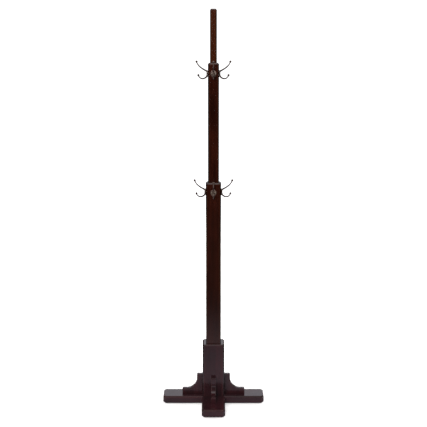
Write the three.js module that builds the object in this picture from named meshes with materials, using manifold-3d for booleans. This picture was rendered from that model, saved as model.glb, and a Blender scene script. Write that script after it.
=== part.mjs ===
// Free-standing coat tree. Three square posts stand one on another, each narrower than the one
// below. The lowest stands in a base block on a cross of two half-lapped foot rails, braced by
// four brackets, and each face of the two upper steps carries a double coat hook.
// Millimetres, +Z up. The origin is on the floor under the posts' axis, and -Y is the front.
import * as THREE from "three";
import { ConvexGeometry } from "three/addons/geometries/ConvexGeometry.js";
import { mergeVertices } from "three/addons/utils/BufferGeometryUtils.js";
import Module from "manifold-3d";

const wasm = await Module();
wasm.setup();

// ---- driving dimensions ----
const TOTAL_HEIGHT = 1829;
const FIT_GAP = 0.3; // clearance between a piece and the bore or pocket that holds it

const POLE_WIDTH = 30.5;
const MIDDLE_WIDTH = 50;
const LOWER_WIDTH = 70;
const BLOCK_WIDTH = 102;
const MIDDLE_SHOULDER = 1590; // height of the middle post's top
const LOWER_SHOULDER = 1049; // height of the lower post's top
const BLOCK_SHOULDER = 290; // height of the base block's top
const SOCKET_DEPTH = 60; // how deep the lower post stands in the base block
const POST_CLIP = 6; // clipped vertical edges of every post and of the block
const POST_EASE = 5.5; // chamfer round each post's top

const GLIDE_HEIGHT = 3;
const FOOT_TOP = 40;
const FOOT_WIDTH = 107;
const FOOT_REACH = 236.5; // from the axis to the end of each foot
const FOOT_CLIP = 10; // clipped corners at each foot's end, seen from above
const FOOT_TOP_EASE = 5;
const FOOT_BOTTOM_EASE = 8;
const LAP_HEIGHT = (GLIDE_HEIGHT + FOOT_TOP) / 2; // where the two rails meet at the crossing

const BRACKET_THICKNESS = 21;
const BRACKET_HEIGHT = 95;
const BRACKET_REACH = 95.5;
const BRACKET_TOP_REACH = 27; // depth of the bracket above its cove
const BRACKET_TOE = 25; // height of the bracket's outer end
const BRACKET_COVE = 47.5; // radius of the hollow curve
const BRACKET_ROUND = 6; // rounded upper corner
const BRACKET_TOE_ROUND = 4;

const HOOK_DROP_MIDDLE = 47.5; // from the middle post's top down to its hooks' centre
const HOOK_DROP_LOWER = 44.5; // the same on the lower post
const PLATE_WIDTH = 27;
const PLATE_HEIGHT = 31;
const PLATE_EDGE = 1.7; // thickness at the plate's rim
const PLATE_CROWN = 4.5; // thickness at its middle
const SPINE_WIDTH = 8.4;
const SPINE_HEIGHT = 28;
const SPINE_RISE = 2.6;
const SPINE_OUT = 4; // from the post's face to the spine's centre line
const PRONG_RADIUS = 2.7;
const BALL_RADIUS = 5.1;
const HOOK_SCREW_OFFSET = 8.6; // from the hook's centre line to each screw
const HOOK_SCREW_DEPTH = 13; // in the post

const GLIDE_RADIUS = 11;
const GLIDE_REACH = 205; // from the axis to each glide's centre
const DOWEL_RADIUS = 4;
const BOLT_RADIUS = 5;
const BOLT_HEAD_RADIUS = 9; // across the hexagon's corners, halved
const BOLT_HEAD_BOTTOM = 6;
const BOLT_HEAD_HEIGHT = 7;
const BOLT_POCKET_RADIUS = 13;
const BOLT_GRIP = 45; // how far the base bolt reaches into the lower post
const WASHER_RADIUS = 11.5;
const WASHER_THICKNESS = 2;

// The four sides, with the turn about +Z that takes the front to each of them.
const SIDES = [
  { name: "front", turn: 0 },
  { name: "right", turn: Math.PI / 2 },
  { name: "back", turn: Math.PI },
  { name: "left", turn: -Math.PI / 2 },
];

// ---- materials ----
const paint = (color, roughness, metalness) =>
  new THREE.MeshStandardMaterial({ color, roughness, metalness });
const darkWood = paint(0x2b1712, 0.3, 0);
const rawWood = paint(0xc49a6a, 0.7, 0);
const bronze = paint(0x3a2c22, 0.4, 0.9);
const screwBronze = paint(0x5a4636, 0.35, 0.9);
const steel = paint(0x8c8f92, 0.4, 1);
const brass = paint(0xb08d4a, 0.4, 1);
const glidePlastic = paint(0x1a1512, 0.6, 0);

// ---- solids ----
// A closed geometry as a manifold solid with its faces outward.
function solid(geometry) {
  const bare = geometry.clone();
  bare.deleteAttribute("normal");
  bare.deleteAttribute("uv");
  const merged = mergeVertices(bare, 1e-4);
  const corners = merged.index.array;
  const kept = [];
  for (let i = 0; i < corners.length; i += 3) {
    const [a, b, c] = [corners[i], corners[i + 1], corners[i + 2]];
    if (a !== b && b !== c && c !== a) kept.push(a, b, c);
  }
  const mesh = { numProp: 3, vertProperties: new Float32Array(merged.attributes.position.array) };
  const shape = new wasm.Manifold(new wasm.Mesh({ ...mesh, triVerts: new Uint32Array(kept) }));
  if (shape.volume() > 0) return shape;
  return new wasm.Manifold(new wasm.Mesh({ ...mesh, triVerts: new Uint32Array(kept.reverse()) }));
}

// A manifold solid as a named three.js mesh.
function piece(name, shape, material) {
  const { vertProperties, triVerts } = shape.getMesh();
  const geometry = new THREE.BufferGeometry();
  geometry.setAttribute("position", new THREE.BufferAttribute(vertProperties, 3));
  geometry.setIndex(new THREE.BufferAttribute(triVerts, 1));
  geometry.computeVertexNormals();
  const mesh = new THREE.Mesh(geometry, material);
  mesh.name = name;
  return mesh;
}

function box(x, y, z) {
  const [[x0, x1], [y0, y1], [z0, z1]] = [x, y, z];
  const geometry = new THREE.BoxGeometry(x1 - x0, y1 - y0, z1 - z0);
  return solid(geometry.translate((x0 + x1) / 2, (y0 + y1) / 2, (z0 + z1) / 2));
}

// An upright round bar between two heights.
function upright(radius, bottom, top, { x = 0, y = 0, sides = 12 } = {}) {
  const geometry = new THREE.CylinderGeometry(radius, radius, top - bottom, sides);
  return solid(geometry.rotateX(Math.PI / 2).translate(x, y, (bottom + top) / 2));
}

// A solid of revolution about the front-back line: its profile runs as [radius, distance out],
// and the distance is measured towards the front.
function turnedOutward(profile, sides) {
  const points = profile.map(([radius, out]) => new THREE.Vector2(radius, out));
  return new THREE.LatheGeometry(points, sides).rotateX(Math.PI);
}

function turnedUpright(profile, sides) {
  const points = profile.map(([radius, up]) => new THREE.Vector2(radius, up));
  return new THREE.LatheGeometry(points, sides).rotateX(Math.PI / 2);
}

// Eight corners of a rectangle with clipped corners, at one height.
function clippedOutline(z, halfX, halfY, clip) {
  const corners = [];
  for (const signX of [-1, 1]) {
    for (const signY of [-1, 1]) {
      corners.push(new THREE.Vector3(signX * halfX, signY * (halfY - clip), z));
      corners.push(new THREE.Vector3(signX * (halfX - clip), signY * halfY, z));
    }
  }
  return corners;
}

// A squared timber with clipped upright edges and chamfered top and bottom edges. Moving every
// side in by a chamfer shortens a clipped corner by (2 - sqrt 2) of it.
function timber({ halfX, halfY, bottom, top, clip, bottomEase = 0, topEase = 0 }) {
  const outline = (z, ease) =>
    clippedOutline(z, halfX - ease, halfY - ease, clip - ease * (2 - Math.SQRT2));
  return solid(new ConvexGeometry([
    ...outline(bottom, bottomEase),
    ...outline(bottom + bottomEase, 0),
    ...outline(top - topEase, 0),
    ...outline(top, topEase),
  ]));
}

// A copy of a solid turned about the posts' axis.
function turned(shape, turn) {
  return shape.rotate([0, 0, THREE.MathUtils.radToDeg(turn)]);
}

// ---- hook screws ----
// An oval-head wood screw lying along the front-back line, its tip in the post. The distance out
// counts from the post's face. A gap makes the same shape larger, to cut its hole.
const SCREW_SHANK = 1.6;
const SCREW_HEAD = 3.2;
const SCREW_SEAT = 1.7; // where the head's cone starts
const SCREW_RIM = 3.5; // where the head's rim meets the plate's face
const SCREW_DOME = 1; // how far the head rises beyond its rim
const SCREW_POINT = 3; // length of the pointed end

function hookScrewHole() {
  return solid(turnedOutward([
    [0, -HOOK_SCREW_DEPTH - FIT_GAP],
    [SCREW_SHANK + FIT_GAP, -HOOK_SCREW_DEPTH - FIT_GAP],
    [SCREW_SHANK + FIT_GAP, SCREW_SEAT - FIT_GAP],
    [SCREW_HEAD + FIT_GAP, SCREW_RIM - FIT_GAP],
    [SCREW_HEAD + FIT_GAP, 2 * SCREW_RIM],
    [0, 2 * SCREW_RIM],
  ], 8));
}

function hookScrew() {
  return solid(turnedOutward([
    [0, -HOOK_SCREW_DEPTH],
    [SCREW_SHANK, -HOOK_SCREW_DEPTH + SCREW_POINT],
    [SCREW_SHANK, SCREW_SEAT],
    [SCREW_HEAD, SCREW_RIM],
    [SCREW_HEAD * 0.6, SCREW_RIM + SCREW_DOME * 0.8],
    [0, SCREW_RIM + SCREW_DOME],
  ], 8));
}

// ---- hook ----
// One casting: a domed oval plate with a raised spine, a long upper prong and a short lower
// prong, each ending in a ball. It is drawn for the front, with the post's face at y = 0.
const outward = (out, up) => new THREE.Vector3(0, -out, up);
const UPPER_PRONG = [outward(4, 12), outward(22, 20), outward(44, 30), outward(51, 53)];
const LOWER_PRONG = [outward(4, -11.5), outward(13, -28), outward(37, -28), outward(42.8, -7)];

function prong(points) {
  const section = new THREE.Shape().absarc(0, 0, PRONG_RADIUS, 0, 2 * Math.PI);
  const path = new THREE.CubicBezierCurve3(...points);
  const rod = { curveSegments: 3, steps: 7, bevelEnabled: false, extrudePath: path };
  const tip = points[3];
  const ball = new THREE.SphereGeometry(BALL_RADIUS, 8, 6).translate(tip.x, tip.y, tip.z);
  return solid(new THREE.ExtrudeGeometry(section, rod)).add(solid(ball));
}

function hook() {
  const rim = PLATE_WIDTH / 2;
  const plate = turnedOutward([
    [0, FIT_GAP],
    [rim, FIT_GAP],
    [rim, PLATE_EDGE],
    [rim * 0.85, PLATE_CROWN * 0.67],
    [rim * 0.45, PLATE_CROWN * 0.91],
    [0, PLATE_CROWN],
  ], 16).scale(1, 1, PLATE_HEIGHT / PLATE_WIDTH);
  const spine = new THREE.SphereGeometry(1, 8, 6)
    .scale(SPINE_WIDTH / 2, SPINE_RISE, SPINE_HEIGHT / 2)
    .translate(0, -SPINE_OUT, 0);
  let shape = solid(plate).add(solid(spine)).add(prong(UPPER_PRONG)).add(prong(LOWER_PRONG));
  for (const side of [-1, 1]) {
    shape = shape.subtract(hookScrewHole().translate([side * HOOK_SCREW_OFFSET, 0, 0]));
  }
  return shape;
}

// The pilot holes for the hooks on one post.
function drillForHooks(post, halfWidth, centre) {
  for (const { turn } of SIDES) {
    for (const side of [-1, 1]) {
      const hole = hookScrewHole().translate([side * HOOK_SCREW_OFFSET, -halfWidth, centre]);
      post = post.subtract(turned(hole, turn));
    }
  }
  return post;
}

// ---- joints between the posts ----
// A stud glued into the upper piece screws into a brass insert in the lower piece's top.
const POLE_STUD = { radius: 4, reach: 32, insertRadius: 6, insertDepth: 15 };
const POST_STUD = { radius: 5, reach: 42, insertRadius: 8, insertDepth: 20 };
const STUD_POINT = 1.2; // chamfer at a stud's ends
const PAST = 1; // how far a cutter runs beyond the face that it opens

function studBore(stud, shoulder) {
  const ends = [shoulder - stud.reach - FIT_GAP, shoulder + stud.reach + FIT_GAP];
  return upright(stud.radius + FIT_GAP, ...ends);
}

function insertPocket(stud, top, bottom) {
  return upright(stud.insertRadius + FIT_GAP, bottom - FIT_GAP, top + FIT_GAP);
}

function insert(stud, top, bottom) {
  return upright(stud.insertRadius, bottom, top).subtract(
    upright(stud.radius + FIT_GAP, bottom - PAST, top + PAST),
  );
}

function stud({ radius, reach }, shoulder) {
  return solid(turnedUpright([
    [0, shoulder - reach],
    [radius - STUD_POINT, shoulder - reach],
    [radius, shoulder - reach + STUD_POINT],
    [radius, shoulder + reach - STUD_POINT],
    [radius - STUD_POINT, shoulder + reach],
    [0, shoulder + reach],
  ], 12));
}

// ---- posts ----
const MIDDLE_HOOKS = MIDDLE_SHOULDER - HOOK_DROP_MIDDLE;
const LOWER_HOOKS = LOWER_SHOULDER - HOOK_DROP_LOWER;
const SOCKET_FLOOR = BLOCK_SHOULDER - SOCKET_DEPTH;
const BOLT_TOP = SOCKET_FLOOR + BOLT_GRIP;
const BASE_INSERT_TOP = SOCKET_FLOOR + POST_STUD.insertDepth + 5;

function squarePost(width, bottom, top) {
  const half = width / 2;
  return timber({ halfX: half, halfY: half, bottom, top, clip: POST_CLIP, topEase: POST_EASE });
}

function topPole() {
  const pole = squarePost(POLE_WIDTH, MIDDLE_SHOULDER, TOTAL_HEIGHT);
  return pole.subtract(studBore(POLE_STUD, MIDDLE_SHOULDER));
}

function middlePost() {
  const post = squarePost(MIDDLE_WIDTH, LOWER_SHOULDER, MIDDLE_SHOULDER)
    .subtract(studBore(POLE_STUD, MIDDLE_SHOULDER))
    .subtract(insertPocket(POLE_STUD, MIDDLE_SHOULDER, MIDDLE_SHOULDER - POLE_STUD.insertDepth))
    .subtract(studBore(POST_STUD, LOWER_SHOULDER));
  return drillForHooks(post, MIDDLE_WIDTH / 2, MIDDLE_HOOKS);
}

function lowerPost() {
  const post = squarePost(LOWER_WIDTH, SOCKET_FLOOR, LOWER_SHOULDER)
    .subtract(studBore(POST_STUD, LOWER_SHOULDER))
    .subtract(insertPocket(POST_STUD, LOWER_SHOULDER, LOWER_SHOULDER - POST_STUD.insertDepth))
    .subtract(upright(BOLT_RADIUS + FIT_GAP, SOCKET_FLOOR - PAST, BOLT_TOP + BOLT_RADIUS))
    .subtract(insertPocket(POST_STUD, BASE_INSERT_TOP, SOCKET_FLOOR));
  return drillForHooks(post, LOWER_WIDTH / 2, LOWER_HOOKS);
}

// ---- base block ----
const BLOCK_DOWEL_PLACES = [[30, 30], [-30, -30]];
const BLOCK_DOWEL_REACH = 18; // up into the block
const BRACKET_DOWEL_HEIGHT = FOOT_TOP + 62;
const BRACKET_DOWEL_DEPTH = 15; // in the block, and the same in the bracket

// A bracket dowel lies along the front-back line across the block's front face.
function bracketDowel(gap) {
  const length = 2 * (BRACKET_DOWEL_DEPTH + gap);
  const bar = new THREE.CylinderGeometry(DOWEL_RADIUS + gap, DOWEL_RADIUS + gap, length, 10);
  return solid(bar.translate(0, -BLOCK_WIDTH / 2, BRACKET_DOWEL_HEIGHT));
}

function blockDowel([x, y], gap) {
  const ends = [LAP_HEIGHT + 1 - gap, FOOT_TOP + BLOCK_DOWEL_REACH + gap];
  return upright(DOWEL_RADIUS + gap, ...ends, { x, y, sides: 10 });
}

function baseBlock() {
  const socket = timber({
    halfX: LOWER_WIDTH / 2 + FIT_GAP,
    halfY: LOWER_WIDTH / 2 + FIT_GAP,
    bottom: SOCKET_FLOOR,
    top: BLOCK_SHOULDER + PAST,
    clip: POST_CLIP,
  });
  let block = squarePost(BLOCK_WIDTH, FOOT_TOP, BLOCK_SHOULDER)
    .subtract(socket)
    .subtract(upright(BOLT_RADIUS + FIT_GAP, FOOT_TOP - PAST, SOCKET_FLOOR + PAST));
  for (const place of BLOCK_DOWEL_PLACES) block = block.subtract(blockDowel(place, FIT_GAP));
  for (const { turn } of SIDES) block = block.subtract(turned(bracketDowel(FIT_GAP), turn));
  return block;
}

// ---- feet ----
const CROSSING = FOOT_WIDTH / 2;
const BOLT_HEAD_TOP = BOLT_HEAD_BOTTOM + BOLT_HEAD_HEIGHT;
const WASHER_TOP = BOLT_HEAD_TOP + WASHER_THICKNESS;
const BRACKET_SCREW_REACH = BLOCK_WIDTH / 2 + 40; // from the axis
const BRACKET_SCREW_TOP = FOOT_TOP + 26;
const BRACKET_SCREW_BOTTOM = GLIDE_HEIGHT + 6; // the head is sunk into the foot
const BRACKET_SCREW_SHANK = 2.2;
const BRACKET_SCREW_HEAD = 4.8;
const BRACKET_SCREW_COUNTERBORE = 5.5;

function footBar(alongX) {
  return timber({
    halfX: alongX ? FOOT_REACH : CROSSING,
    halfY: alongX ? CROSSING : FOOT_REACH,
    bottom: GLIDE_HEIGHT,
    top: FOOT_TOP,
    clip: FOOT_CLIP,
    bottomEase: FOOT_BOTTOM_EASE,
    topEase: FOOT_TOP_EASE,
  });
}

function bracketScrewHole() {
  return solid(turnedUpright([
    [0, GLIDE_HEIGHT - PAST],
    [BRACKET_SCREW_COUNTERBORE, GLIDE_HEIGHT - PAST],
    [BRACKET_SCREW_COUNTERBORE, BRACKET_SCREW_BOTTOM + 1],
    [BRACKET_SCREW_SHANK + FIT_GAP, BRACKET_SCREW_BOTTOM + 5],
    [BRACKET_SCREW_SHANK + FIT_GAP, BRACKET_SCREW_TOP + FIT_GAP],
    [0, BRACKET_SCREW_TOP + FIT_GAP],
  ], 8)).translate([0, -BRACKET_SCREW_REACH, 0]);
}

function bracketScrew() {
  return solid(turnedUpright([
    [0, BRACKET_SCREW_BOTTOM],
    [BRACKET_SCREW_HEAD, BRACKET_SCREW_BOTTOM],
    [BRACKET_SCREW_HEAD, BRACKET_SCREW_BOTTOM + 0.8],
    [BRACKET_SCREW_SHANK, BRACKET_SCREW_BOTTOM + 4.5],
    [BRACKET_SCREW_SHANK, BRACKET_SCREW_TOP - 4],
    [0, BRACKET_SCREW_TOP],
  ], 8)).translate([0, -BRACKET_SCREW_REACH, 0]);
}

// A glide is a disc with a moulded pin that is pressed into the foot.
const GLIDE_EASE = 1;
const GLIDE_PIN_RADIUS = 2;
const GLIDE_PIN_TOP = GLIDE_HEIGHT + 12;

function glide() {
  return solid(turnedUpright([
    [0, 0],
    [GLIDE_RADIUS - GLIDE_EASE, 0],
    [GLIDE_RADIUS, GLIDE_EASE],
    [GLIDE_RADIUS, GLIDE_HEIGHT],
    [GLIDE_PIN_RADIUS, GLIDE_HEIGHT],
    [GLIDE_PIN_RADIUS, GLIDE_PIN_TOP],
    [0, GLIDE_PIN_TOP],
  ], 16)).translate([0, -GLIDE_REACH, 0]);
}

function glidePinHole() {
  const hole = { y: -GLIDE_REACH, sides: 8 };
  return upright(GLIDE_PIN_RADIUS + FIT_GAP, GLIDE_HEIGHT - PAST, GLIDE_PIN_TOP + FIT_GAP, hole);
}

function drillFoot(rail, turn) {
  return rail.subtract(turned(bracketScrewHole(), turn)).subtract(turned(glidePinHole(), turn));
}

// The left-right rail keeps the upper half of the crossing. It takes in the other bar's edge
// there, so that the chamfers run round the cross's inner corners.
function leftRightRail() {
  const upperHalf = box([-CROSSING, CROSSING], [-CROSSING, CROSSING], [LAP_HEIGHT, FOOT_TOP + PAST]);
  const notch = CROSSING + FIT_GAP;
  let rail = footBar(true)
    .add(footBar(false).intersect(upperHalf))
    .subtract(box([-notch, notch], [-FOOT_WIDTH, FOOT_WIDTH], [0, LAP_HEIGHT]))
    .subtract(upright(BOLT_RADIUS + FIT_GAP, 0, FOOT_TOP + PAST));
  for (const place of BLOCK_DOWEL_PLACES) rail = rail.subtract(blockDowel(place, FIT_GAP));
  return drillFoot(drillFoot(rail, SIDES[1].turn), SIDES[3].turn);
}

// The front-back rail keeps the lower half, with a pocket beneath for the bolt's head.
function frontBackRail() {
  const lowerHalf = box([-CROSSING, CROSSING], [-CROSSING, CROSSING], [0, LAP_HEIGHT]);
  const notch = CROSSING + FIT_GAP;
  const rail = footBar(false)
    .add(footBar(true).intersect(lowerHalf))
    .subtract(box([-FOOT_WIDTH, FOOT_WIDTH], [-notch, notch], [LAP_HEIGHT, FOOT_TOP + PAST]))
    .subtract(upright(BOLT_RADIUS + FIT_GAP, 0, FOOT_TOP + PAST))
    .subtract(upright(BOLT_POCKET_RADIUS, 0, WASHER_TOP, { sides: 16 }));
  return drillFoot(drillFoot(rail, SIDES[0].turn), SIDES[2].turn);
}

// ---- brackets ----
// The side outline runs outward from the block's face and up from the foot.
function bracketOutline() {
  const outline = new THREE.Shape();
  const coveFoot = BRACKET_TOP_REACH + BRACKET_COVE;
  outline.moveTo(0, 0);
  outline.lineTo(BRACKET_REACH, 0);
  outline.lineTo(BRACKET_REACH, BRACKET_TOE - BRACKET_TOE_ROUND);
  outline.absarc(
    BRACKET_REACH - BRACKET_TOE_ROUND, BRACKET_TOE - BRACKET_TOE_ROUND,
    BRACKET_TOE_ROUND, 0, Math.PI / 2, false,
  );
  outline.lineTo(coveFoot, BRACKET_TOE);
  outline.absarc(
    coveFoot, BRACKET_TOE + BRACKET_COVE,
    BRACKET_COVE, 1.5 * Math.PI, Math.PI, true,
  );
  outline.lineTo(BRACKET_TOP_REACH, BRACKET_HEIGHT - BRACKET_ROUND);
  outline.absarc(
    BRACKET_TOP_REACH - BRACKET_ROUND, BRACKET_HEIGHT - BRACKET_ROUND,
    BRACKET_ROUND, 0, Math.PI / 2, false,
  );
  outline.lineTo(0, BRACKET_HEIGHT);
  return outline;
}

function bracket() {
  const board = { depth: BRACKET_THICKNESS, curveSegments: 7, bevelEnabled: false };
  const geometry = new THREE.ExtrudeGeometry(bracketOutline(), board)
    .translate(0, 0, -BRACKET_THICKNESS / 2)
    .rotateX(Math.PI / 2)
    .rotateZ(-Math.PI / 2)
    .translate(0, -BLOCK_WIDTH / 2 - FIT_GAP, FOOT_TOP + FIT_GAP);
  return solid(geometry).subtract(bracketDowel(FIT_GAP)).subtract(bracketScrewHole());
}

// ---- base bolt ----
function baseBolt() {
  const head = upright(BOLT_HEAD_RADIUS, BOLT_HEAD_BOTTOM, BOLT_HEAD_TOP, { sides: 6 });
  return head.add(upright(BOLT_RADIUS, BOLT_HEAD_TOP - PAST, BOLT_TOP));
}

function baseWasher() {
  return upright(WASHER_RADIUS, BOLT_HEAD_TOP, WASHER_TOP, { sides: 16 }).subtract(
    upright(BOLT_RADIUS + FIT_GAP, BOLT_HEAD_TOP - PAST, WASHER_TOP + PAST),
  );
}

// ---- assembly ----
const coatTree = new THREE.Group();

coatTree.add(
  piece("top_pole", topPole(), darkWood),
  piece("middle_post", middlePost(), darkWood),
  piece("lower_post", lowerPost(), darkWood),
  piece("base_block", baseBlock(), darkWood),
  piece("foot_rail_left_right", leftRightRail(), darkWood),
  piece("foot_rail_front_back", frontBackRail(), darkWood),
  piece("pole_stud", stud(POLE_STUD, MIDDLE_SHOULDER), steel),
  piece("pole_insert", insert(
    POLE_STUD, MIDDLE_SHOULDER - FIT_GAP, MIDDLE_SHOULDER - POLE_STUD.insertDepth,
  ), brass),
  piece("post_stud", stud(POST_STUD, LOWER_SHOULDER), steel),
  piece("post_insert", insert(
    POST_STUD, LOWER_SHOULDER - FIT_GAP, LOWER_SHOULDER - POST_STUD.insertDepth,
  ), brass),
  piece("base_insert", insert(POST_STUD, BASE_INSERT_TOP, SOCKET_FLOOR + FIT_GAP), brass),
  piece("base_bolt", baseBolt(), steel),
  piece("base_washer", baseWasher(), steel),
);

BLOCK_DOWEL_PLACES.forEach((place, index) => {
  coatTree.add(piece(`block_dowel_${index + 1}`, blockDowel(place, 0), rawWood));
});

for (const { name, turn } of SIDES) {
  const side = new THREE.Group();
  side.rotation.z = turn;
  side.add(
    piece(`bracket_${name}`, bracket(), darkWood),
    piece(`bracket_dowel_${name}`, bracketDowel(0), rawWood),
    piece(`bracket_screw_${name}`, bracketScrew(), steel),
    piece(`glide_${name}`, glide(), glidePlastic),
  );
  for (const [level, width, centre] of [
    ["upper", MIDDLE_WIDTH, MIDDLE_HOOKS],
    ["lower", LOWER_WIDTH, LOWER_HOOKS],
  ]) {
    const place = new THREE.Group();
    place.position.set(0, -width / 2, centre);
    place.add(piece(`${level}_hook_${name}`, hook(), bronze));
    for (const [hand, sign] of [["left", -1], ["right", 1]]) {
      const screw = piece(`${level}_hook_${name}_screw_${hand}`, hookScrew(), screwBronze);
      screw.position.x = sign * HOOK_SCREW_OFFSET;
      place.add(screw);
    }
    side.add(place);
  }
  coatTree.add(side);
}

export default coatTree;
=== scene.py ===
"""Looks for the coat tree: eased timber, cast hooks and their screws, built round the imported
frame. Metres, +Z up, -Y is the front. Every place comes from the frame's nodes."""
import math
import random

import bmesh
import bpy
from mathutils import Matrix, Vector


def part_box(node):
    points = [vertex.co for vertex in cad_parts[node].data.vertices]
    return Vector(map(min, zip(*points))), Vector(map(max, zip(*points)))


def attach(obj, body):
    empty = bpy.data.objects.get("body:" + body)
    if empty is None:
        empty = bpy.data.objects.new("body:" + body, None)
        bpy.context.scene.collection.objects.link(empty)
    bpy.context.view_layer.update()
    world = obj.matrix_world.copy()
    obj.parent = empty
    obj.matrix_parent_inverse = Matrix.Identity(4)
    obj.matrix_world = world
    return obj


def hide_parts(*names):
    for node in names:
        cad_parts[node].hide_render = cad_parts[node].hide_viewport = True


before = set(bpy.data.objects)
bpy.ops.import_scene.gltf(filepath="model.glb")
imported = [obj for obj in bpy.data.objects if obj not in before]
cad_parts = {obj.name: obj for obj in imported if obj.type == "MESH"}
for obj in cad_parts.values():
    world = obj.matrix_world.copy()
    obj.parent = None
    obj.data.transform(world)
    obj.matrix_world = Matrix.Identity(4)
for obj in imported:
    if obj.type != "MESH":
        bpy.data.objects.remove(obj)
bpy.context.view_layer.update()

MM = 0.001
SIDES = {"front": 0.0, "right": 90.0, "back": 180.0, "left": -90.0}  # turn from the front, degrees
PAST = 10 * MM  # how far a cutter runs beyond the face that it opens
FIT_GAP = 0.3 * MM

# Camera: a long lens a little below the tree's top, looking slightly down.
CAMERA_PLACE = (0.0002, -4.6625, 1.7265)
CAMERA_LENS = 86.65
CAMERA_DROP = 10.015  # degrees below the horizon

# Timber: chamfers as on the CAD pieces, with every arris rubbed round.
POST_CLIP = 6.0 * MM
POST_EASE = 5.5 * MM
FOOT_CLIP = 10.0 * MM
FOOT_TOP_EASE = 5.0 * MM
FOOT_BOTTOM_EASE = 8.0 * MM
ARRIS = 1.3 * MM
JOINT_ARRIS = 0.35 * MM  # at an end that stands on another piece
ARRIS_STEPS = 4
WEAR_APRON = 3.0 * MM  # how far the rubbing reaches past an arris
FOOT_WIDTH = 107 * MM
BRACKET_THICKNESS = 21 * MM
BRACKET_HEIGHT = 95 * MM
BRACKET_REACH = 95.5 * MM
BRACKET_TOP_REACH = 27 * MM  # depth of the bracket above its hollow curve
BRACKET_TOE = 25 * MM  # height of its outer end
BRACKET_COVE = 47.5 * MM
BRACKET_ROUND = 6 * MM
BRACKET_TOE_ROUND = 4 * MM
BRACKET_SCREW_HOLE = 2.5 * MM
BRACKET_SCREW_POCKET = 5.5 * MM
BOLT_POCKET = 13 * MM
BOLT_HOLE_INSET = 3.7 * MM  # the bolt's head is this much wider, all round, than the shank's hole
GLIDE_PIN = 2 * MM

# Hooks and their screws. A prong's line is a Bezier curve with its points so far out and up
# from the plate's middle. Turned parts are given as (radius, height).
PLATE_WIDTH = 27 * MM
PLATE_HEIGHT = 31 * MM
PLATE_STEPS = [(0, 0.3), (13.5, 0.3), (13.5, 1.3), (13.2, 1.9), (12.5, 2.2), (11.8, 2.1),
               (11.3, 2.35), (9.6, 3.2), (6.0, 4.0), (2.0, 4.4), (0, 4.5)]  # mm
SPINE_HALF = (4.4 * MM, 2.9 * MM, 14 * MM)
SPINE_OUT = 3.6 * MM
UPPER_PRONG = ((1.2, 8.6), (21, 19.5), (44, 30), (51, 53))  # mm
LOWER_PRONG = ((1.8, -7.4), (12.5, -28), (37, -28), (42.8, -7))  # mm
PRONG_RADIUS = 2.7 * MM
PRONG_STEPS = 48
PRONG_ROOT, PRONG_TAPER, FLARE = 1.38, 0.50, 0.62  # shares of the radius
FLARE_STEPS = 3.4  # how soon the flare at a prong's root fades
COLLAR_STEPS = [(0, -2.0), (2.2, -2.0), (3.1, -1.3), (3.1, -0.7), (2.1, 0.1), (0, 0.1)]  # mm
BALL_RADIUS = 5.1 * MM
CASTING_GRAIN = 0.42 * MM
HOOK_SCREW_OFFSET = 8.6 * MM
HOOK_SCREW_DEPTH = 13 * MM
SCREW_SHANK = 1.6 * MM
SCREW_HEAD = 3.2 * MM
SCREW_SEAT = 1.7 * MM
SCREW_RIM = 3.5 * MM


# ---- nodes ----
def nodes_of(owner):
    owner.use_nodes = True
    owner.node_tree.nodes.clear()
    return owner.node_tree


def feed(tree, socket, value):
    """Links a socket to another node's output, or sets it to a number, a vector or a colour."""
    if isinstance(value, bpy.types.NodeSocket):
        tree.links.new(value, socket)
    elif socket.type == "RGBA":
        socket.default_value = (*value, 1)
    else:
        socket.default_value = value


def add_node(tree, kind, inputs=None, **settings):
    """A new node. Settings are its properties, and inputs feeds its sockets by name or number."""
    node = tree.nodes.new(kind)
    for key, value in settings.items():
        setattr(node, key, value)
    for key, value in (inputs or {}).items():
        feed(tree, node.inputs[key], value)
    return node


def grey(value, tint=(1.0, 1.0, 1.0)):
    return tuple(value * part for part in tint)


def ramped(tree, value, stops):
    """A colour for each value, between (value, colour) stops."""
    ramp = add_node(tree, "ShaderNodeValToRGB", {"Fac": value})
    elements = ramp.color_ramp.elements
    while len(elements) < len(stops):
        elements.new(0.5)
    for element, (position, colour) in zip(elements, stops):
        element.position = position
        element.color = (*colour, 1)
    return ramp.outputs["Color"]


def ranged(tree, value, low, high, to_low=0.0, to_high=1.0):
    """A value taken from one range to another, and kept within it."""
    inputs = {"Value": value, "From Min": low, "From Max": high, "To Min": to_low, "To Max": to_high}
    return add_node(tree, "ShaderNodeMapRange", inputs).outputs["Result"]


def mix_shaders(tree, factor, first, second):
    return add_node(tree, "ShaderNodeMixShader",
                    {"Fac": factor, 1: first.outputs[0], 2: second.outputs[0]})


def mapped(tree, vector, **moves):
    """A place moved, turned or scaled."""
    inputs = {key.capitalize(): value for key, value in moves.items()}
    return add_node(tree, "ShaderNodeMapping", {"Vector": vector, **inputs}).outputs[0]


def noise(tree, vector, scale, detail=4.0, roughness=0.55, distortion=0.0):
    inputs = {"Vector": vector, "Scale": scale, "Detail": detail, "Roughness": roughness,
              "Distortion": distortion}
    return add_node(tree, "ShaderNodeTexNoise", inputs).outputs["Fac"]


def maths(tree, operation, *values):
    return add_node(tree, "ShaderNodeMath", dict(enumerate(values)), operation=operation).outputs[0]


def weighed(tree, first, first_share, second, second_share):
    """The sum of two values, each times its share."""
    return maths(tree, "ADD", maths(tree, "MULTIPLY", first, first_share),
                 maths(tree, "MULTIPLY", second, second_share))


def mix_colours(tree, factor, first, second, blend="MIX"):
    """Sockets 6 and 7 of a Mix node are its colours, and output 2 is the colour it gives."""
    return add_node(tree, "ShaderNodeMix", {0: factor, 6: first, 7: second}, data_type="RGBA",
                    blend_type=blend).outputs[2]


def attribute(tree, name):
    return add_node(tree, "ShaderNodeAttribute", attribute_name=name).outputs["Fac"]


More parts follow.
